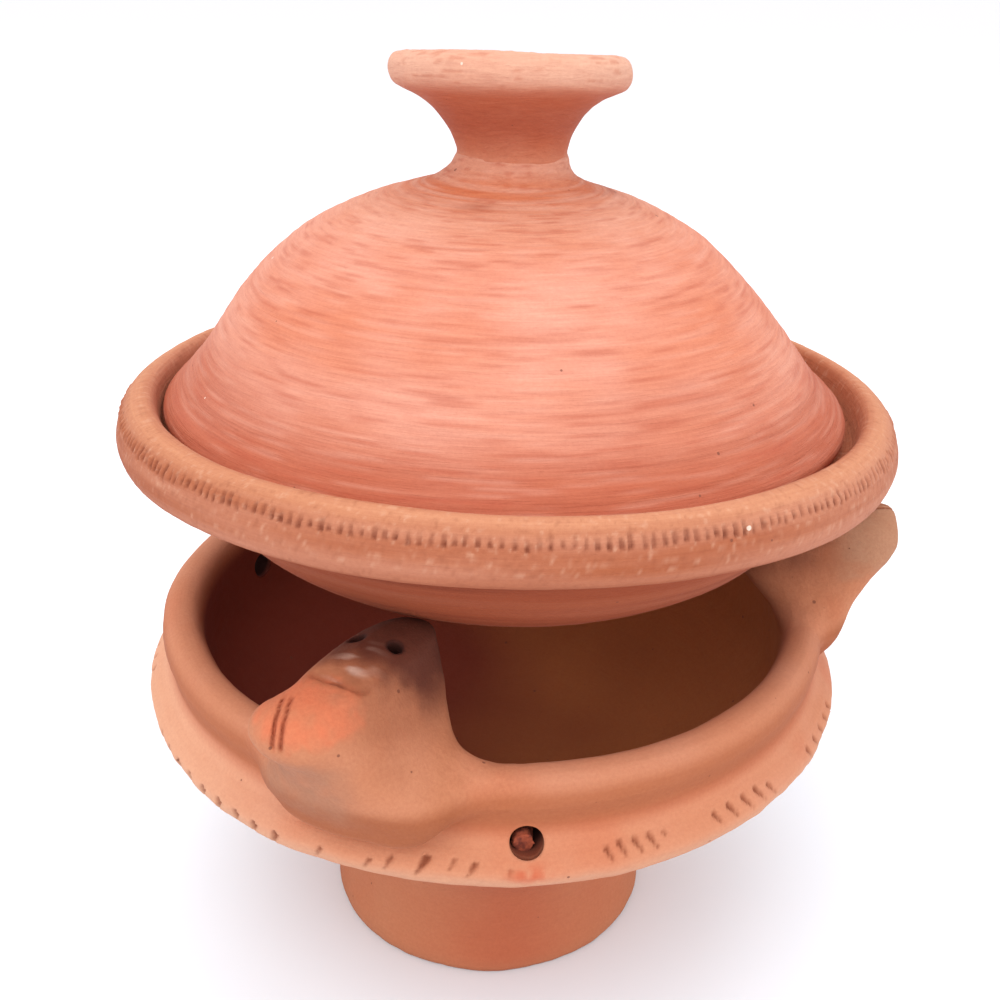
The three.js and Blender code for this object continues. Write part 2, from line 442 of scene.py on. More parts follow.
knob = Turned(
    ([(0, 193.4), (11.4, 193.4)], 3.8, 320),
    (
        [
            (11.4, 193.4),
            (12.15, 196.2),
            (12.1, 198.4),
            (13.4, 202.0),
            (16.2, 206.0),
            (19.4, 208.6),
            (22.4, 210.0),
            (24.8, 211.3),
            (25.7, 213.4),
            (25.4, 215.9),
            (24.1, 217.4),
            (21.6, 217.9),
        ],
        0.5,
        320,
    ),
    ([(21.6, 217.9), (16, 217.9), (8, 217.8), (0, 217.8)], 1.1, 320),
)
rough_lip = ramp(209, 213, knob.height)
knob.swell(
    0.22 * layers(knob.points, 16, 2, 5)
    + 0.05 * noise(knob.turn, (20, 20, 1.4), 3)
    + 0.12 * rough_lip * layers(knob.points, 2.0, 3, 4)
)
haze = 0.45 + 0.7 * layers(knob.turn, (20, 20, 5), 3, 21)
paint = mix(ORANGE, PALE, ramp(0, 1, haze) * (0.35 + 0.5 * rough_lip))
paint = mix(paint, rgb(255, 200, 172), 0.6 * rough_lip)
# Painted shade: the knob's neck, under its flared lip, is darker.
paint = mix(paint, rgb(186, 88, 58), 0.8 * bump(knob.height, 204.5, 5.5))
scuffs = rough_lip * ramp(0.35, 0.8, layers(knob.points, (3.2, 3.2, 0.9), 2, 8))
paint = mix(paint, rgb(205, 112, 78), 0.4 * scuffs)
tipped = ramp(198, 210, knob.height)
knob.points[:, 2] -= 0.06 * knob.points[:, 1] * tipped
knob.points = settled(knob.points)
turned_piece("lid_knob", "lid", knob, paint)

# --------------------------------------------------------------------------------------------- dish

DISH_UNDERSIDE = [(0, 100.5), (21, 101.7), (39, 105.4), (54, 111.2), (65.2, 119), (72, 127.5), (77.0, 133.6)]
RIM_LOWER = [
    (77.0, 133.6),
    (80.2, 135.0),
    (85.2, 136.1),
    (87.9, 137.5),
    (88.9, 139.8),
    (89.0, 142.0),
    (88.4, 144.2),
]
RIM_UPPER = [(88.4, 144.2), (87.5, 146.4), (86.0, 148.2), (84.4, 149.2)]
RIM_INNER = [(84.4, 149.2), (82.4, 149.5), (80.8, 148.4), (79.8, 145.4), (79.0, 142.0), (77.6, 140.7)]
DISH_INSIDE = [(77.6, 140.7), (70, 140.6), (67.4, 137), (62, 127), (51, 117.5), (30, 110.4), (0, 108.3)]
NOTCH_LOW, NOTCH_HIGH = 145.1, 146.9

dish = Turned(
    (DISH_UNDERSIDE, 1.7, COARSE),
    (RIM_LOWER, 0.9, FINE),
    (RIM_UPPER, 0.36, FINEST),
    (RIM_INNER, 1.1, FINE),
    (DISH_INSIDE, 4.0, COARSE),
)

# Each roulette mark is an upright slot with its own depth, width, length and place.
rng = np.random.default_rng(5)
own = rng.uniform(-1, 1, (NOTCHES, 5))
turns = dish.bearing / (2 * math.pi) * NOTCHES
mark = np.floor(turns).astype(int) % NOTCHES
off = (turns - np.floor(turns) - 0.5 - 0.13 * own[mark, 0]) * 2 * math.pi * RIM_RADIUS / NOTCHES
off += 0.12 * (dish.height - 146.8) * own[mark, 4]
half = 0.3 + 0.12 * own[mark, 1] + 0.12 * layers(dish.points, 0.9, 2, 13)
slot_across = ramp(half + 0.33, half - 0.12, np.abs(off))
slot_low = NOTCH_LOW + 0.45 * own[mark, 2] + 0.25 * noise(dish.points, 14, 2)
slot_high = NOTCH_HIGH + 0.35 * own[mark, 3] + 0.25 * noise(dish.points, 14, 6)
on_band = (dish.height > 143) & (dish.radius > 84)
slot_up = ramp(slot_low - 0.3, slot_low + 0.4, dish.height)
slot_up *= ramp(slot_high + 0.5, slot_high - 0.2, dish.height)
strength = 0.75 + 0.25 * noise(dish.points, 9, 8) + 0.2 * own[mark, 1]
strength += 0.35 * layers(dish.points, 1.2, 2, 9)
strength *= 1.15 - 0.55 * ramp(slot_low, slot_high, dish.height)
slots = slot_across * slot_up * on_band * np.clip(strength, 0.12, 1.3)
burrs = on_band * slot_up * (1 - slot_across) * np.maximum(layers(dish.points, 1.6, 2, 12), -0.2)

under = ramp(134.4, 133.4, dish.height) * ramp(0, 20, dish.radius)
dish.swell(
    0.25 * layers(dish.points, 34, 2, 30)
    + 0.07 * noise(dish.turn, (30, 30, 1.8), 12)
    + 0.22 * under * noise(dish.turn, (60, 60, 3.4), 17)
    + 0.04 * layers(dish.points, 1.8, 2, 19)
    - 0.62 * slots
    + 0.26 * burrs
)
# Painted highlight: a paler band along the rim's crest.
crest_highlight = bump(dish.along, dish.along_at(149.3), 3.0)
inner = ramp(0, 6, dish.along - dish.along_at(149.4) - 4)
paint = mix(SANDY, PALE, ramp(0.1, 1.0, 0.5 + 0.6 * layers(dish.turn, (24, 24, 4), 3, 41)) * 0.45)
paint = mix(paint, rgb(232, 160, 120), 0.75 * crest_highlight)
paint = mix(paint, ORANGE, 0.7 * inner)
gritty = layers(dish.points, 0.9, 3, 47)
paint = mix(paint, rgb(150, 76, 46), 0.3 * ramp(0.3, 1.2, gritty) * (dish.height > 134))
paint = mix(paint, rgb(250, 200, 168), 0.3 * ramp(-0.3, -1.2, gritty) * (dish.height > 140))
# Painted shade: the roulette slots are darker the deeper they are cut.
paint = mix(paint, rgb(130, 58, 36), 0.7 * np.clip(slots, 0, 1))
paint = mix(paint, rgb(170, 78, 44), under * (0.8 + 0.2 * noise(dish.turn, (40, 40, 2.2), 44)))
drawn = noise(dish.turn, (50, 50, 0.7), 45) + 0.6 * noise(dish.turn, (24, 24, 0.4), 46)
paint = mix(paint, rgb(120, 46, 26), 0.45 * under * ramp(0.1, 0.8, drawn))
paint = mix(paint, rgb(206, 120, 84), 0.35 * under * ramp(-0.1, -0.8, drawn))
# The rim is out of true: up at the front and back, down at both sides.
saddle = ramp(78, 85, np.hypot(*dish.points[:, :2].T)) * ramp(128, 134, dish.height)
dish.points[:, 2] += 0.9 * saddle * np.cos(2 * dish.bearing)
dish.points[:, :2] += DISH_SHIFT
dish.points[:, 2] += askew(*dish.points[:, :2].T)
turned_piece("dish", "dish_pot", dish, paint)

# ------------------------------------------------------------------------------------------ brazier

BOWL_UNDERSIDE = [(36, 28), (43, 31), (51, 39), (66, 53.5), (76, 61.4), (81.6, 65.9)]
FLANGE = [
    (81.6, 65.9),
    (85.2, 68.9),
    (86.4, 72.2),
    (85.0, 74.6),
    (82.6, 77.0),
    (81.2, 79.6),
    (81.2, 82.0),
    (82.1, 85.6),
]
LIP = [(82.1, 85.6), (81.6, 88.6), (79.6, 90.8), (76.8, 91.4), (74.2, 90.4), (72.6, 87.4), (72.2, 85.0)]

bowl = Turned(
    ([(0, 28), (36, 28)], 9.0, COARSE),
    (BOWL_UNDERSIDE, 1.6, COARSE),
    (FLANGE, 0.6, FINE),
    (LIP, 1.0, COARSE),
    ([(72.2, 85.0), (72.3, 78), (71.7, 70)], 0.6, FINE),
    ([(71.7, 70), (69.6, 64), (60, 53.4), (46, 43), (28, 37.5), (0, 36)], 3.4, COARSE),
)


def vent_column(bearing):
    """The column of the fire bowl's grid at the middle of the vent with that bearing."""
    return round(math.radians(bearing) / (2 * math.pi) * FINE)


def drill(pot, bearing):
    """Cuts a vent: draws the grid of both sides of the wall in to a round hole, leaves out the faces
    within block columns of its middle, and returns the two rims. Beyond reach the grid is untouched."""
    block, reach = 5, 12
    column = vent_column(bearing)
    loops = []
    for outside in (True, False):
        centre = int(np.abs(pot.length - pot.along_at(VENT_HEIGHT, outside)).argmin())
        around_mm = 2 * math.pi * pot.line[centre, 0] / FINE
        for di in range(-reach, reach + 1):
            for dj in range(-reach, reach + 1):
                far = max(abs(di), abs(dj))
                if not far:
                    continue
                row = centre + di
                vertex = pot.start[row] + (column + dj) % FINE
                square = np.array([dj, di if outside else -di], float)
                disc = square / np.hypot(*square) * far
                share = ramp(block, reach, far)
                up = pot.length[row] - pot.length[centre]
                place = disc * (1 - share) * VENT_RADIUS / block
                place += share * np.array([dj * around_mm, up if outside else -up])
                pot.bearing[vertex] = 2 * math.pi * column / FINE + place[0] / pot.line[centre, 0]
                pot.along[vertex] = pot.length[centre] + (place[1] if outside else -place[1])
        ring = [(block, k) for k in range(-block, block)] + [(-k, block) for k in range(-block, block)]
        ring += [(-block, -k) for k in range(-block, block)] + [(k, -block) for k in range(-block, block)]
        sign = 1 if outside else -1
        loops.append([pot.start[centre + sign * di] + (column + dj) % FINE for di, dj in ring])
        cut = set(range(centre - block, centre + block))
        for index, faces in enumerate(pot.quads):
            row = pot.row[faces[0, 0]]
            if row in cut:
                k = faces[:, 0] - pot.start[row]
                pot.quads[index] = faces[(k - column + block) % FINE >= 2 * block]
    return loops


bores = [drill(bowl, bearing) for bearing in VENTS]
bowl.place()

# Slanting cuts of a tool along the flange: bearing, height, length, width, depth and slant in degrees.
GOUGES = [
    (-23.5, 71.0, 3.6, 1.2, 0.7, 24),
    (-16.2, 71.6, 3.4, 1.1, 0.7, 26),
    (-13.2, 73.0, 3.6, 1.2, 0.7, 22),
    (-8.6, 73.6, 4.6, 1.9, 1.1, 26),
    (-4.6, 73.8, 3.0, 1.0, 0.6, 24),
    (-1.9, 73.4, 3.2, 1.5, 0.8, 28),
    (3.2, 73.0, 1.4, 1.1, 0.5, 10),
    (17.0, 74.6, 3.6, 1.2, 0.8, -22),
    (19.0, 74.7, 3.8, 1.3, 0.8, -22),
    (21.3, 74.9, 3.8, 1.3, 0.8, -24),
    (23.6, 75.0, 3.8, 1.3, 0.8, -24),
    (25.6, 75.4, 2.2, 0.9, 0.5, -24),
    (34.6, 74.6, 3.6, 1.3, 0.8, -26),
    (37.6, 74.6, 3.9, 1.4, 0.9, -26),
    (40.6, 74.6, 3.9, 1.4, 0.9, -26),
    (43.4, 74.4, 3.9, 1.4, 0.9, -26),
    (46.0, 74.2, 3.2, 1.2, 0.7, -26),
]
GOUGES += [(-62 + 3.9 * k, 70.4, 3.4, 1.8, 1.2, 20) for k in range(9)]
GOUGES += [(58 + 3.3 * k, 73.0, 3.4, 1.4, 0.8, -20) for k in range(5)]
GOUGES += [(104 + 3.6 * k, 73.6, 3.4, 1.4, 0.8, -22) for k in range(22) if k % 7 != 3]
GOUGES += [(196 + 3.7 * k, 73.2, 3.4, 1.4, 0.8, 22) for k in range(24) if k % 6 != 2]

cuts = np.zeros(len(bowl.points))
flange_rows = (bowl.height > 64) & (bowl.height < 80) & (bowl.radius > 79)
for bearing, height, length, width, depth, slant in GOUGES:
    a = (bowl.bearing - math.radians(bearing) + math.pi) % (2 * math.pi) - math.pi
    a = a * FLANGE_RADIUS
    b = bowl.along - bowl.along_at(height)
    near = np.flatnonzero(flange_rows & (np.abs(a) < 7) & (np.abs(b) < 7))
    s, c = math.sin(math.radians(slant)), math.cos(math.radians(slant))
    across, up = a[near] * c - b[near] * s, a[near] * s + b[near] * c
    share = np.clip(up / length + 0.5, 0, 1)
    open_half = width * (0.25 + 0.75 * share) / 2
    shape = ramp(1.5, 0.2, np.abs(across) / open_half) * ramp(0.62, 0.42, np.abs(up / length))
    cuts[near] = np.maximum(cuts[near], 1.3 * depth * (0.5 + 0.5 * share) * shape)


def brazier_wobble(points):
    """The slow unevenness of the hand-made brazier, shared by all its pieces."""
    return points + 0.45 * np.stack([noise(points, 42, 50 + k) for k in range(3)], axis=-1) + [0.4, 0, 0]


def smoke_and_shade_paint(points):
    """The fire bowl's smoked inside, with painted shade that makes it darker on its left."""
    share = 0.45 + 0.25 * layers(points, 30, 2, 76) + 0.012 * points[:, 0]
    return mix(rgb(150, 62, 42), rgb(204, 118, 66), ramp(0, 1, share))


def brazier_paint(points, height):
    """The brazier's patchy clay, browner from the groove up to the lip, and with a painted highlight that
    makes the flange paler on its left.
    """
    paint = mix(TAN, PALE, 0.4 * ramp(-0.4, 0.9, layers(points, 26, 3, 70)))
    paint = mix(paint, ORANGE, 0.45 * ramp(0.1, 0.9, layers(points, 18, 3, 74)))
    lip = ramp(77.5, 81, height) * ramp(91, 87, height)
    paint = mix(paint, rgb(186, 103, 62), 0.8 * lip)
    # Painted highlight: the flange is paler on its left, where the light falls.
    lit_flange_left = ramp(-25, -75, points[:, 0]) * ramp(82, 79, height) * ramp(64, 68, height)
    return mix(paint, rgb(250, 186, 150), 0.75 * lit_flange_left)


groove = bump(bowl.along, bowl.along_at(79.8), 1.6)
edge = bump(bowl.along, bowl.along_at(70.6), 2.4)
bowl.swell(
    0.16 * layers(bowl.points, 12, 2, 60)
    + 0.05 * noise(bowl.turn, (24, 24, 1.9), 61)
    + 0.04 * layers(bowl.points, 2.0, 2, 62)
    + 0.3 * edge * layers(bowl.points, (5, 5, 3), 2, 63)
    - cuts
)
inside = ramp(0, 5, bowl.along - bowl.along_at(88.4, outside=False))
paint = brazier_paint(bowl.points, bowl.height)
# Painted highlight: a paler band along the flange's lower edge.
paint = mix(paint, rgb(240, 184, 150), 0.55 * bump(bowl.height, 70.2, 2.2) * ramp(80, 84, bowl.radius))
# Painted shade: darker in the groove between the flange and the lip.
paint = mix(paint, rgb(214, 118, 82), 0.35 * groove)
# Painted shade: the tool cuts are darker the deeper they go.
dark = cuts * (1 + 0.2 * layers(bowl.points, 1.5, 2, 78))
paint = mix(paint, rgb(158, 80, 50), 0.85 * np.clip(dark, 0, 1))
smudge = bump(bowl.height, 72.6, 1.8) * bump(np.degrees(bowl.bearing), 5.6, 2.6) * (bowl.radius > 82)
paint = mix(paint, rgb(216, 84, 44), 0.7 * smudge * ramp(-0.5, 0.5, layers(bowl.points, 2, 2, 77)))
# The inside is smoked, with painted shade darker on its left.
paint = mix(paint, smoke_and_shade_paint(bowl.points), inside)


def bore_faces(pot, loops, paint):
    """Joins the two rims of a vent with rings of new points and returns the faces and the paint."""
    outer, inner = loops
    rings, count, steps = [outer], len(outer), 9
    ends = pot.points[outer], pot.points[inner]
    for k in range(1, steps):
        t = k / steps
        made = ends[0] * (1 - t) + ends[1] * t
        centre = made.mean(axis=0)
        made = centre + (made - centre) * (1 - 0.05 * math.sin(math.pi * t))
        made += 0.1 * np.stack([noise(made, 1.5, 90 + a) for a in range(3)], axis=-1)
        start = len(pot.points)
        rings.append(list(range(start, start + count)))
        pot.points = np.vstack([pot.points, made])
        pot.turn = np.vstack([pot.turn, pot.turn[outer]])
        # Painted shade: the vent's wall darkens deeper into the hole.
        deep = mix(rgb(150, 74, 48), rgb(70, 28, 20), np.full(count, min(1.0, 2.5 * t)))
        paint = np.vstack([paint, deep])
    rings.append(inner)
    faces = []
    for a, b in zip(rings, rings[1:]):
        for k in range(count):
            n = (k + 1) % count
            faces.append((a[k], a[n], b[n], b[k]))
    return faces, paint


extra = []
for loops in bores:
    made, paint = bore_faces(bowl, loops, paint)
    extra += made
bowl.points = brazier_wobble(bowl.points)
bowl_paint = paint

foot = Turned(
    ([(33.2, 0), (41.4, 0)], 1.2, 300),
    (
        [(41.4, 0), (42.3, 0.9), (41.6, 4), (39.6, 10), (38.6, 17), (39.6, 23), (43.4, 29), (48.5, 35)],
        0.8,
        300,
    ),
    ([(48.5, 35), (45.5, 35.4), (38, 30.4), (32.5, 28.4)], 2.0, 300),
    ([(32.5, 28.4), (31, 17), (32, 9), (33.2, 0)], 1.6, 300),
    ring=True,
)
foot.swell(
    0.16 * layers(foot.points, 14, 2, 80)
    + 0.05 * noise(foot.turn, (24, 24, 1.9), 81)
    + 0.1 * bump(foot.height, 1.5, 2.5) * layers(foot.points, 3, 2, 82)
)
foot.points[:, 2] = np.maximum(foot.points[:, 2], 0)
paint = mix(TAN, ORANGE, 0.35 + 0.35 * layers(foot.points, 22, 3, 84))
# Painted shade: a darker band down the middle of the foot's front.
paint = mix(paint, rgb(214, 112, 78), 0.75 * bump(foot.points[:, 0], 6, 18) * (foot.points[:, 1] < 0))
paint = mix(paint, rgb(214, 140, 104), 0.5 * ramp(5, 0, foot.height))
paint = 0.9 * paint * [1, 0.96, 0.9]
foot.points = np.where(foot.height[:, None] > 1, brazier_wobble(foot.points), foot.points)
turned_piece("brazier_foot", "brazier", foot, paint)

# --------------------------------------------------------------------------------------- pot rests

VOXEL = 0.42
# The space round one rest, in its own frame: outwards, along the lip and up.
REST_LOW, REST_HIGH = (48, -32, 64), (106, 42, 118)
BOWL_SKIN = 2.2  # how deep a rest reaches into the wall of the bowl


def outline_distance(pot_line, radius, height):
    """Signed distance to a closed outline, looked up in a table of its radius-height plane."""
    step = 0.4
    r = np.arange(45, 106, step)
    z = np.arange(60, 160, step)
    grid = np.stack(np.meshgrid(r, z, indexing="ij"), axis=-1)
    best = np.full(grid.shape[:2], 1e9)
    inside_of = np.zeros(grid.shape[:2], bool)
    closed = np.vstack([pot_line, pot_line[:1]])
    for a, b in zip(closed, closed[1:]):
        along = b - a
        length = float(along @ along)
        if length < 1e-9:
            continue
        t = np.clip(((grid - a) @ along) / length, 0, 1)[..., None]
        best = np.minimum(best, np.hypot(*np.moveaxis(grid - a - t * along, -1, 0)))
        crosses = (a[1] > grid[..., 1]) != (b[1] > grid[..., 1])
        if abs(along[1]) > 1e-9:
            where = a[0] + along[0] * (grid[..., 1] - a[1]) / along[1]
            inside_of ^= crosses & (grid[..., 0] < where)
    table = np.where(inside_of, -best, best)
    i = np.clip((radius - r[0]) / step, 0, len(r) - 1.001)
    k = np.clip((height - z[0]) / step, 0, len(z) - 1.001)
    i0, k0 = i.astype(int), k.astype(int)
    part, rise = i - i0, k - k0
    low = table[i0, k0] * (1 - part) + table[i0 + 1, k0] * part
    high = table[i0, k0 + 1] * (1 - part) + table[i0 + 1, k0 + 1] * part
    return low * (1 - rise) + high * rise


def joined(a, b, soft):
    """Distance to two shapes run together, with a fillet of about that size."""
    return np.minimum(a, b) - np.maximum(soft - np.abs(a - b), 0) ** 2 / (4 * soft)


def roughened(distance, places, terms):
    """The shape with noise on its surface: terms are (height, size, octaves, seed)."""
    near = np.abs(distance) < 2
    made = distance.copy()
    for height, size, octaves, seed in terms:
        made[near] += height * layers(places[near], size, octaves, seed)
    return made


def less(a, b, soft):
    """Distance to shape a with shape b taken out of it."""
    return -joined(-a, b, soft)


def ball(u, v, z, centre, radii):
    """Distance to a ball, flattened or drawn out along the axes."""
    q = np.sqrt(sum(((p - c) / r) ** 2 for p, c, r in zip((u, v, z), centre, radii)))
    slope = np.sqrt(sum(((p - c) / r**2) ** 2 for p, c, r in zip((u, v, z), centre, radii)))
    return q * (q - 1) / np.maximum(slope, 1e-6)


def rod(u, v, z, start, end, radius):
    """Distance to a rod with round ends."""
    p = np.stack([u, v, z], axis=-1) - np.array(start, float)
    axis = np.array(end, float) - np.array(start, float)
    t = np.clip((p @ axis) / (axis @ axis), 0, 1)[..., None]
    return np.sqrt(((p - t * axis) ** 2).sum(axis=-1)) - radius


# Level sections of a rest: height, inner and outer reach, left and right edge.
LUG = np.array(
    [
        [70, 80.0, 84.0, -5, 10],
        [76, 78.0, 87.0, -9, 16],
        [82, 75.5, 88.8, -13, 22],
        [88, 71.0, 90.8, -14, 23],
        [93, 65.5, 92.4, -12.0, 20.4],
        [98, 60.8, 94.2, -10.0, 18.0],
        [104, 57.4, 95.2, -8.6, 14.4],
        [109, 55.8, 93.5, -6.6, 11.6],
        [112, 56.2, 89.0, -5.0, 10.0],
        [114.4, 60.5, 78.0, -1.0, 6.5],
    ]
)
LUG_BOTTOM = 78.6  # under it the wall of the bowl carries on unbroken
GROWN_AT = [76, 82, 92, 98, 104, 112]
SLIT_LEAN = 0.24  # of the two fine cuts on each beak's top


def lug_distance(u, v, z, grown, shift, spread):
    """Distance to a plain lug. grown is how far its outside stands out at each of GROWN_AT's heights."""
    smoothed = [spline(LUG[:, [0, k]], 0.4) for k in (1, 2, 3, 4)]
    inner, outer, left, right = [np.interp(z, s[:, 0], s[:, 1]) for s in smoothed]
    right = right * spread
    outer = outer + np.interp(z, GROWN_AT, grown)
    a, b = (outer - inner) / 2, (right - left) / 2
    x = (u - (outer + inner) / 2) / a
    y = (v - shift - (right + left) / 2 + 0.17 * (u - 76) * ramp(84, 104, z)) / b
    power = 2.5
    e = (np.abs(x) ** power + np.abs(y) ** power) ** (1 / power)
    e = np.maximum(e, 1e-3)
    slope = np.sqrt((np.abs(x) ** (power - 1) / a) ** 2 + (np.abs(y) ** (power - 1) / b) ** 2)
    side = (e - 1) / np.maximum(slope / e ** (power - 1), 1e-4)
    return less(less(side, LUG[-1, 0] - z, 2.0), z - LUG_BOTTOM, 2.0)


def keep_largest(points, quads):
    """Drops loose crumbs of a surface."""
    label = np.arange(len(points))
    while True:
        low = label[quads].min(axis=1)
        new = label.copy()
        np.minimum.at(new, quads.ravel(), np.repeat(low, 4))
        new = new[new]
        if (new == label).all():
            break
        label = new
    main = np.bincount(label).argmax()
    return quads[(label[quads] == main).all(axis=1)]


def surface(distance, low, step):
    """Points and quads of the surface where a grid of distances is 0."""
    grid = openvdb.FloatGrid()
    grid.copyFromArray(np.ascontiguousarray(distance, np.float32))
    corners, quads = grid.convertToQuads(0.0)
    quads = keep_largest(corners, quads)
    used, index = np.unique(quads, return_inverse=True)
    return corners[used] * step + np.array(low, float), index.reshape(quads.shape)


def from_local(local, bearing):
    """Points about the axis, from a frame that goes outwards, along the lip and up at that bearing."""
    out = np.array([math.sin(bearing), -math.cos(bearing)])
    side = np.array([math.cos(bearing), math.sin(bearing)])
    return np.column_stack([local[:, :1] * out + local[:, 1:2] * side, local[:, 2]])


def pot_rest(bearing, seed, grown, shift, head):
    """A lug pulled up from the lip, with its beak, eyes and cuts, blended into the bowl."""
    axes = [np.arange(low, high, VOXEL) for low, high in zip(REST_LOW, REST_HIGH)]
    u, v, z = np.meshgrid(*axes, indexing="ij")
    b = math.radians(bearing)
    x, y = u * math.sin(b) + v * math.cos(b), v * math.sin(b) - u * math.cos(b)
    radius = np.hypot(x, y)
    places = np.stack([x, y, z], axis=-1)

    core = lug_distance(u, v, z, grown, shift, head["spread"])
    core = joined(core, ball(u, v, z, *head["beak"]), 3.0)
    for (u0, z0), (du, dz) in head["facets"]:
        core = less(core, -((u - u0) * du + (z - z0) * dz), 0.8)
    bowl_distance = outline_distance(bowl.line, radius, z)
    fillet = 4.0 + head["fillet"] * ramp(78, 88, z)
    whole = joined(core, bowl_distance + 0.3, fillet)
    for shape in head["hollows"]:
        whole = less(whole, rod(u, v, z, *shape), 0.7)
    for start in head["slits"]:
        across = np.abs(v - start - SLIT_LEAN * (u - 89) - 0.12 * np.sin(1.9 * u))
        slit = np.maximum.reduce([across - 0.32, -0.9 - core, 90.2 - u, 105.0 - z])
        whole = less(whole, slit, 0.25)
    whole = roughened(whole, places, [(0.16, 5.5, 3, seed), (0.3, 15, 1, seed + 3)])
    dish_distance = outline_distance(
        dish.line, np.hypot(x - DISH_SHIFT[0], y - DISH_SHIFT[1]), z - askew(x, y)
    )
    whole = less(whole, dish_distance - 0.15, 0.3)
    whole = np.maximum(whole, core - fillet - 0.6)
    whole = np.maximum(whole, -(bowl_distance + BOWL_SKIN))
    return surface(whole, REST_LOW, VOXEL)


def rest_paint(points, local, seed):
    """The brazier's clay, darker away from the bowl and sooty on top near the dish."""
    u, z = local[:, 0], local[:, 2]
    rough = layers(points, 6, 3, seed + 20)
    radius = np.hypot(points[:, 0], points[:, 1])
    clear = ramp(0.4, 5.0, outline_distance(bowl.line, radius, z) + rough)
    paint = brazier_paint(points, z)
    paint = mix(paint, paint * [0.88, 0.84, 0.78], clear)
    inside = ramp(88.4, 84, z) * ramp(76, 73.5, radius)
    dusty = ramp(92, 106, z + 3 * rough) * ramp(96, 84, u)
    paint = mix(paint, rgb(184, 112, 78), 0.8 * dusty)
    soot = ramp(86, 71, u + 0.6 * (112 - z) + 5 * rough) * ramp(97, 107, z)
    paint = mix(paint, rgb(104, 50, 36), 0.92 * soot)
    # Parts inside the bowl's mouth take its smoked inside, with its painted shade.
    return mix(paint, smoke_and_shade_paint(points), inside)


# Each head: its beak's centre and radii, the fillet and width of its neck, faces cut flat on the beak,
# the slits on top, and what is hollowed out, two eyes and then the saddle that the dish stands in.
FRONT_HEAD = {
    "beak": ((90.6, -2.4, 104.6), (7.4, 9.6, 6.2)),
    "fillet": 9.0,
    "spread": 1.0,
    "facets": [],
    "slits": (-5.4, -3.6),
    "hollows": [
        ((70.6, -0.6, 115.0), (70.2, 0.2, 111.0), 1.75),
        ((70.6, 8.2, 113.4), (70.0, 7.8, 110.0), 1.7),
        ((83.4, -7.0, 114.6), (83.0, 8.0, 113.2), 2.2),
    ],
}
RIGHT_HEAD = {
    "beak": ((93.6, 0.8, 106.6), (9.6, 8.6, 7.6)),
    "fillet": 4.0,
    "spread": 0.75,
    "facets": [((98.6, 106.0), (1.0, 0.05)), ((98.6, 107.0), (0.85, -0.53))],
    "slits": (-1.6, 0.4),
    "hollows": [
        ((72.0, -5.0, 114.0), (71.6, -5.0, 110.4), 1.6),
        ((72.0, 5.0, 114.0), (71.6, 5.0, 110.4), 1.6),
        ((84.6, -7.0, 115.0), (84.6, 8.0, 115.0), 2.0),
    ],
}
BACK_HEAD = {
    "beak": ((91.2, 0.0, 104.8), (7.4, 9.2, 6.2)),
    "fillet": 4.0,
    "spread": 0.6,
    "facets": [],
    "slits": (-2.2, -0.4),
    "hollows": [
        ((71.0, -4.6, 114.0), (70.6, -4.6, 110.4), 1.6),
        ((71.0, 4.6, 114.0), (70.6, 4.6, 110.4), 1.6),
        ((83.6, -7.0, 114.8), (83.6, 8.0, 114.8), 2.0),
    ],
}

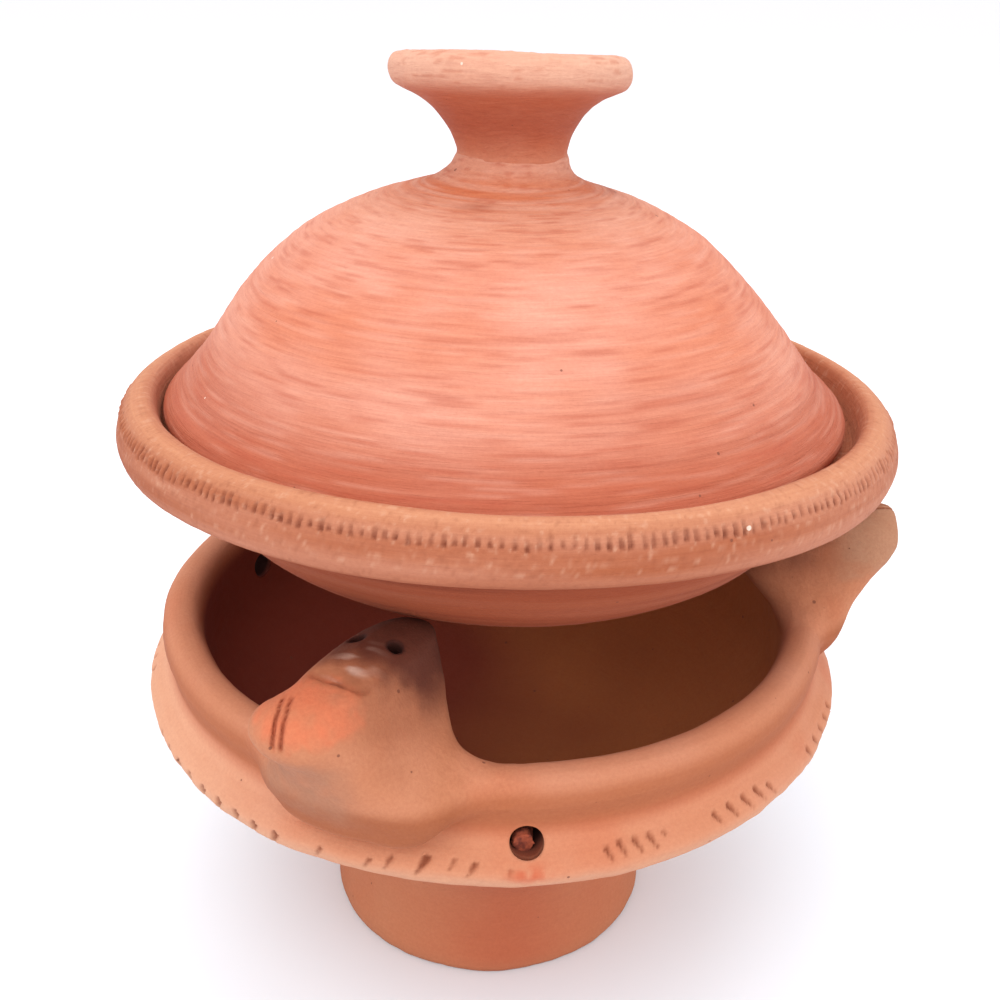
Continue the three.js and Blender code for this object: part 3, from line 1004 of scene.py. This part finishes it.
# Name, bearing, seed, how far each level stands out, shift round the lip and head.
RESTS = [
    ("pot_rest_front", -22.0, 100, [0, 0, 0, 0, 0, 0], 0.8, FRONT_HEAD),
    ("pot_rest_right", 89.0, 200, [0, -1.5, -1.5, -0.6, 1.5, 3.0], -1.5, RIGHT_HEAD),
    ("pot_rest_back", -146.0, 300, [0, -1.0, -1.0, 0, 0.6, 0.6], -2.0, BACK_HEAD),
]
for name, bearing, seed, grown, shift, head in RESTS:
    local, quads = pot_rest(bearing, seed, grown, shift, head)
    points = from_local(local, math.radians(bearing))
    paint = rest_paint(points, local, seed)
    u, v, z = local.T
    rough = layers(points, 3, 3, seed + 30)
    if name == "pot_rest_front":
        nose = ball(u, v, z, (90.2, -0.5, 109.0), (9.6, 10.5, 5.2)) + 1.4 * rough
        worn = 0.75 + 0.3 * layers(local, 2.4, 3, 45)
        paint = mix(paint, rgb(238, 130, 90), 0.85 * ramp(1.6, -1.6, nose) * worn)
        ash = ramp(104.5, 99, z + 2 * rough) * ramp(80, 90, z) * ramp(84, 89, u) * ramp(13, 5, v)
        paint = mix(paint, rgb(186, 130, 102), 0.75 * ash * (0.8 + 0.3 * rough))
        dust = bump(u, 79, 5) * bump(v, 3.6, 3.6) * ramp(0.1, 0.5, noise(local, (1.1, 5, 5), 7)) * (z > 106)
        paint = mix(paint, rgb(226, 190, 172), 0.7 * dust)
        dark = ball(u, v, z, (84.0, 2.8, 110.6), (1.8, 2.2, 1.6)) + 0.8 * rough
        paint = mix(paint, rgb(140, 76, 52), 0.7 * ramp(0.4, -0.4, dark))
        lime = np.hypot(np.hypot(u - 80, v - 10.8), z - 104.8)
        paint = mix(paint, rgb(255, 235, 205), 0.9 * ramp(1.0, 0.4, lime))
    if name == "pot_rest_right":
        ash = ramp(98, 106, z + 2 * rough) * ramp(80, 88, u)
        paint = mix(paint, rgb(198, 146, 114), 0.8 * ash)
    if name == "pot_rest_back":
        # The back rest's inner parts take the bowl's smoked inside, with its painted shade.
        above = ramp(92, 97, z)
        smoke_and_shade_share = ramp(81.5 + 6 * above, 79 + 3 * above, np.hypot(points[:, 0], points[:, 1]))
        paint = mix(paint, smoke_and_shade_paint(points), smoke_and_shade_share)
    # Painted shade: the eye pits are darkened.
    for start, end, size in head["hollows"][:2]:
        pit = rod(u, v, z, start, end, size)
        paint = mix(paint, rgb(70, 30, 22), 0.9 * ramp(0.7, 0.1, pit))
    # Painted shade: the slits on the beak are darkened.
    for start in head["slits"]:
        across = np.abs(v - start - SLIT_LEAN * (u - 89))
        on_beak = ramp(89.4, 90.6, u) * ramp(104, 106, z)
        paint = mix(paint, rgb(160, 74, 48), 0.55 * ramp(0.9, 0.3, across) * on_beak)
    piece(name, "brazier", brazier_wobble(points), quads.tolist(), paint, points * 0.2)

turned_piece("brazier_bowl", "brazier", bowl, bowl_paint, extra)

# ---------------------------------------------------------------------------------------- vent plug

PLUG_VOXEL = 0.16
PLUG_HALF = 3.4
PLUG_LOW = (72, -PLUG_HALF, VENT_HEIGHT - PLUG_HALF)
PLUG_HIGH = (83, PLUG_HALF, VENT_HEIGHT + PLUG_HALF)

axes = [np.arange(low, high, PLUG_VOXEL) for low, high in zip(PLUG_LOW, PLUG_HIGH)]
u, v, z = np.meshgrid(*axes, indexing="ij")
local = np.stack([u, v, z], axis=-1)
core = np.hypot(v + 0.55, z - VENT_HEIGHT + 0.75) - 2.2
core = joined(core, np.hypot(v, z - VENT_HEIGHT) - 3.3 + np.maximum(u - 75.5, 0), 0.5)
core = np.maximum(core, u - 81.7 + 0.15 * (v + 0.5))
core = roughened(core, local, [(0.32, 1.5, 3, 400)])
core = np.maximum(core, 73.0 - u)
local, quads = surface(core, PLUG_LOW, PLUG_VOXEL)
points = from_local(local, 2 * math.pi * vent_column(VENTS[0]) / FINE)
paint = mix(rgb(120, 52, 38), rgb(176, 84, 56), ramp(-0.5, 0.7, layers(local, 1.2, 3, 410)))
piece("vent_plug", "brazier", brazier_wobble(points), quads.tolist(), paint, points * 0.2)

# ------------------------------------------------------------------------- floor, light and camera

AIM = Vector((0, 0, 0.1))  # where the lights point
FLOOR_HALF, FLOOR_LINES = 6, 40


def area(name, place, size, watts):
    lamp = bpy.data.lights.new(name, "AREA")
    lamp.energy = watts
    lamp.shape = "RECTANGLE"
    lamp.size, lamp.size_y = size
    made = bpy.data.objects.new(name, lamp)
    made.location = place
    made.rotation_euler = (AIM - Vector(place)).to_track_quat("-Z", "Y").to_euler()
    bpy.context.scene.collection.objects.link(made)
    return made


floor_mesh = bpy.data.meshes.new("floor")
xs = np.linspace(-FLOOR_HALF, FLOOR_HALF, FLOOR_LINES)
grid_points = [(x, y, 0.0) for y in xs for x in xs]
corners = [i * FLOOR_LINES + j for i in range(FLOOR_LINES - 1) for j in range(FLOOR_LINES - 1)]
grid_faces = [(k, k + 1, k + FLOOR_LINES + 1, k + FLOOR_LINES) for k in corners]
floor_mesh.from_pydata(grid_points, [], grid_faces)
floor = bpy.data.objects.new("floor", floor_mesh)
bpy.context.scene.collection.objects.link(floor)
paper = bpy.data.materials.new("paper")
paper.use_nodes = True
paper_tree = paper.node_tree
paper_shader = paper_tree.nodes["Principled BSDF"]
place = node(paper_tree, "ShaderNodeTexCoord").outputs["Object"]
away = node(paper_tree, "ShaderNodeVectorMath", {"operation": "LENGTH"}, _0=place).outputs["Value"]
smooth = {"interpolation_type": "SMOOTHSTEP"}
# Painted shadow: the floor is darker and bluer near the pots, fading out between 0.06 and 0.26 m away.
shadow_falloff = node(paper_tree, "ShaderNodeMapRange", smooth, Value=away, From_Min=0.06, From_Max=0.26)
painted_shadow_colour, far_colour = (0.79, 0.85, 0.91, 1), (0.92, 0.92, 0.96, 1)
shade = blend(paper_tree, "MIX", shadow_falloff.outputs["Result"], painted_shadow_colour, far_colour)
paper_tree.links.new(shade, paper_shader.inputs["Base Color"])
paper_shader.inputs["Roughness"].default_value = 0.9
paper_shader.inputs["Specular IOR Level"].default_value = 0.1
floor_mesh.materials.append(paper)

key = area("key_light", (-0.35, -0.75, 1.15), (0.9, 0.9), 7.6)
fill = area("fill_light", (0.95, -0.5, 0.75), (0.8, 0.8), 2.4)
top = area("top_light", (0.0, 0.35, 1.3), (1.2, 1.0), 4.2)

world = bpy.data.worlds.new("world")
world.use_nodes = True
world.node_tree.nodes["Background"].inputs["Color"].default_value = (1.0, 0.99, 1.0, 1)
world.node_tree.nodes["Background"].inputs["Strength"].default_value = 1.08
bpy.context.scene.world = world

CAMERA_PLACE = [1.7, -271.2, 243.9]  # millimetres about the pots' axis
CAMERA_DOWN, CAMERA_ROLL = 25.65, 0.98  # degrees

camera_data = bpy.data.cameras.new("camera")
camera_data.sensor_width = 36
camera_data.lens = 43.9
camera = bpy.data.objects.new("camera", camera_data)
tilt = Matrix.Rotation(math.radians(90 - CAMERA_DOWN), 4, "X")
tilt = tilt @ Matrix.Rotation(math.radians(CAMERA_ROLL), 4, "Z")
camera.matrix_world = Matrix.Translation(Vector(to_frame(CAMERA_PLACE))) @ tilt
camera_data.clip_start = 0.01
bpy.context.scene.collection.objects.link(camera)
bpy.context.scene.camera = camera

view = bpy.context.scene.view_settings
view.view_transform, view.look, view.exposure = "Standard", "None", 0.0
